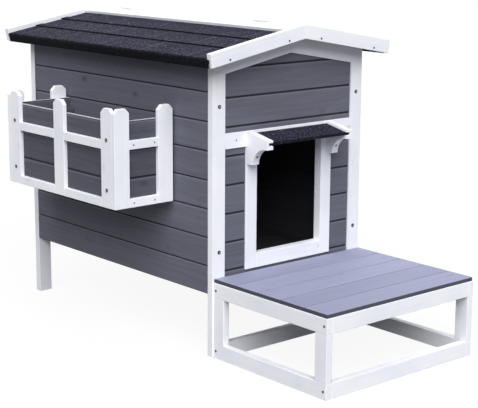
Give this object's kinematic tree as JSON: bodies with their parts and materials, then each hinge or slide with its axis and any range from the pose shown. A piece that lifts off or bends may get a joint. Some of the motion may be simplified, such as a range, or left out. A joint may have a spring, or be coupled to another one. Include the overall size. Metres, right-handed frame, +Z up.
{
  "type": "cat house",
  "caption": "Timber cat house on legs with lapped walls, a doorway under a felted canopy, a hinged gable roof, a picket planter on the side and a decked porch.",
  "frame": {"origin": "on the ground, under the middle of the whole part's box", "axes": "+X to the right along the front, +Y from the doorway to the back, +Z up"},
  "size_m": [0.7274, 1.223, 0.7995],
  "materials": {
    "white_paint": "satin white paint on planed softwood",
    "grey_stain": "matte dark grey stain, grain showing",
    "deck_stain": "matte blue-grey stain, grain showing",
    "roof_felt": "mineral-faced bitumen felt, gritty",
    "zinc_steel": "dull zinc plate"
  },
  "bodies": {
    "house": {"front_left_post": "white_paint", "front_right_post": "white_paint", "back_left_post": "white_paint", "back_right_post": "white_paint", "front_left_rafter": "white_paint", "front_right_rafter": "white_paint", "back_left_rafter": "white_paint", "back_right_rafter": "white_paint", "front_mid_rail": "white_paint", "back_mid_rail": "white_paint", "front_bottom_rail": "white_paint", "back_bottom_rail": "white_paint", "door_left_jamb": "white_paint", "door_right_jamb": "white_paint", "door_sill": "white_paint", "canopy_left_bracket": "white_paint", "canopy_right_bracket": "white_paint", "left_front_barge": "white_paint", "left_back_barge": "white_paint", "left_ridge_cap": "white_paint", "planter_front_pickets": "white_paint", "planter_end_pickets": "white_paint", "planter_front_rails": "white_paint", "planter_end_rails": "white_paint", "porch_left_top_rail": "white_paint", "porch_left_bottom_rail": "white_paint", "porch_right_top_rail": "white_paint", "porch_right_bottom_rail": "white_paint", "porch_legs": "white_paint", "porch_front_rails": "white_paint", "porch_rear_rails": "white_paint", "front_lower_boards": "grey_stain", "front_head_board": "grey_stain", "front_gable_boards": "grey_stain", "back_wall_boards": "grey_stain", "left_wall_boards": "grey_stain", "right_wall_boards": "grey_stain", "corner_battens": "grey_stain", "floor_bearers": "grey_stain", "floor_boards": "grey_stain", "canopy_board": "grey_stain", "left_roof_board": "grey_stain", "planter_front_boards": "grey_stain", "planter_end_boards": "grey_stain", "planter_floor": "grey_stain", "planter_battens": "grey_stain", "deck_boards": "deck_stain", "left_roof_felt": "roof_felt", "canopy_felt": "roof_felt", "hinge_fixed_leaves": "zinc_steel", "hinge_pins": "zinc_steel", "post_bolts": "zinc_steel", "planter_bolts": "zinc_steel"},
    "roof_lid": {"right_roof_board": "grey_stain", "right_roof_felt": "roof_felt", "right_front_barge": "white_paint", "right_back_barge": "white_paint", "right_ridge_cap": "white_paint", "hinge_lid_leaves": "zinc_steel"}
  },
  "joints": [
    {"name": "roof_lid_hinge", "type": "hinge", "parent": "house", "child": "roof_lid", "pos_m": [0.06681, 0.169, 0.79632], "axis": [0, -1, 0], "range_deg": [0, 199]}
  ]
}
